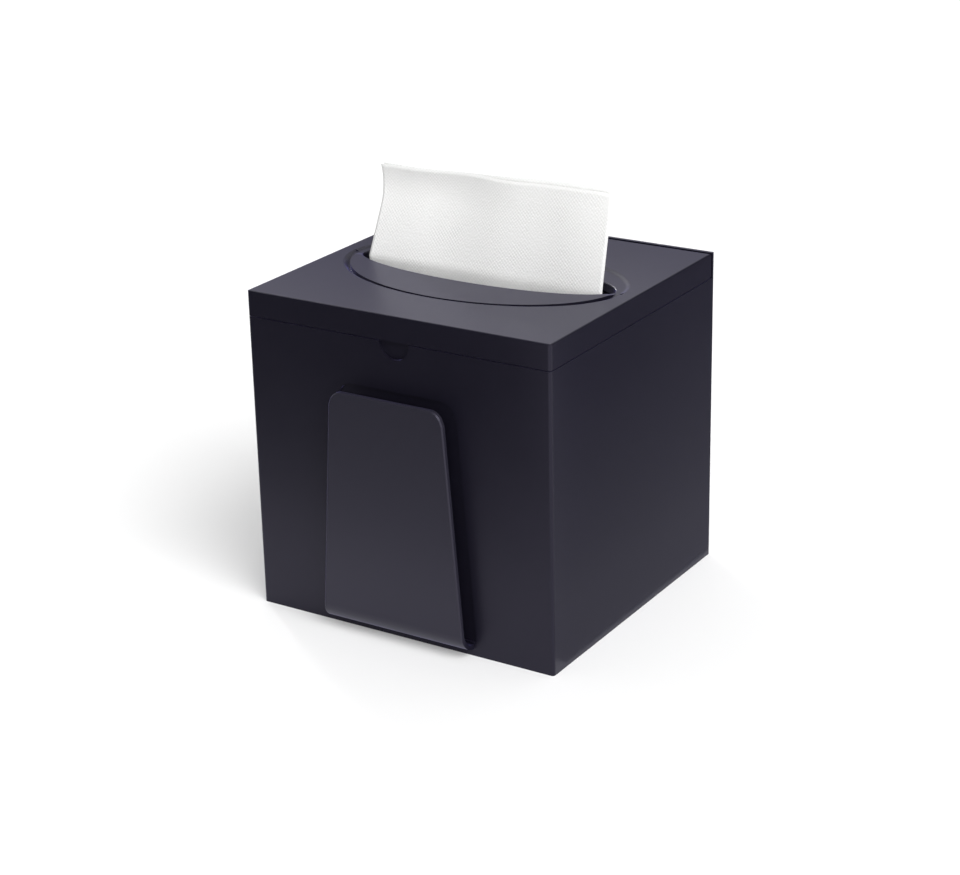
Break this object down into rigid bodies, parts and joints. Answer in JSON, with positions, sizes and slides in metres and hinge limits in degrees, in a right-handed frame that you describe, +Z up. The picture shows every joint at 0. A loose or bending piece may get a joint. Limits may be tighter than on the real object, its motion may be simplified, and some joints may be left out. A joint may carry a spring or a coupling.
{
  "type": "napkin dispenser",
  "caption": "Near-cubic tabletop box for interfolded paper napkins, with a hinged lid, an oval slot with a drawn napkin, and a card clip on the front.",
  "frame": {"origin": "middle of the box's underside", "axes": "+Z up, out of the slot; the front with the card clip faces -Y; +X is to the right of someone facing the front"},
  "size_m": [0.15, 0.1528, 0.1887],
  "materials": {
    "shell": "moulded, satin, dark blue-grey",
    "napkin": "embossed tissue",
    "pad": "matte"
  },
  "bodies": {
    "box": {"body": "shell", "napkin_stack": "napkin", "pad_front_left": "pad", "pad_front_right": "pad", "pad_back_left": "pad", "pad_back_right": "pad"},
    "lid": {"lid": "shell", "drawn_napkin": "napkin"}
  },
  "joints": [
    {"name": "lid_hinge", "type": "hinge", "parent": "box", "child": "lid", "pos_m": [0, 0.0655, 0.1428], "axis": [-1, 0, 0], "range_deg": [0, 100]}
  ]
}
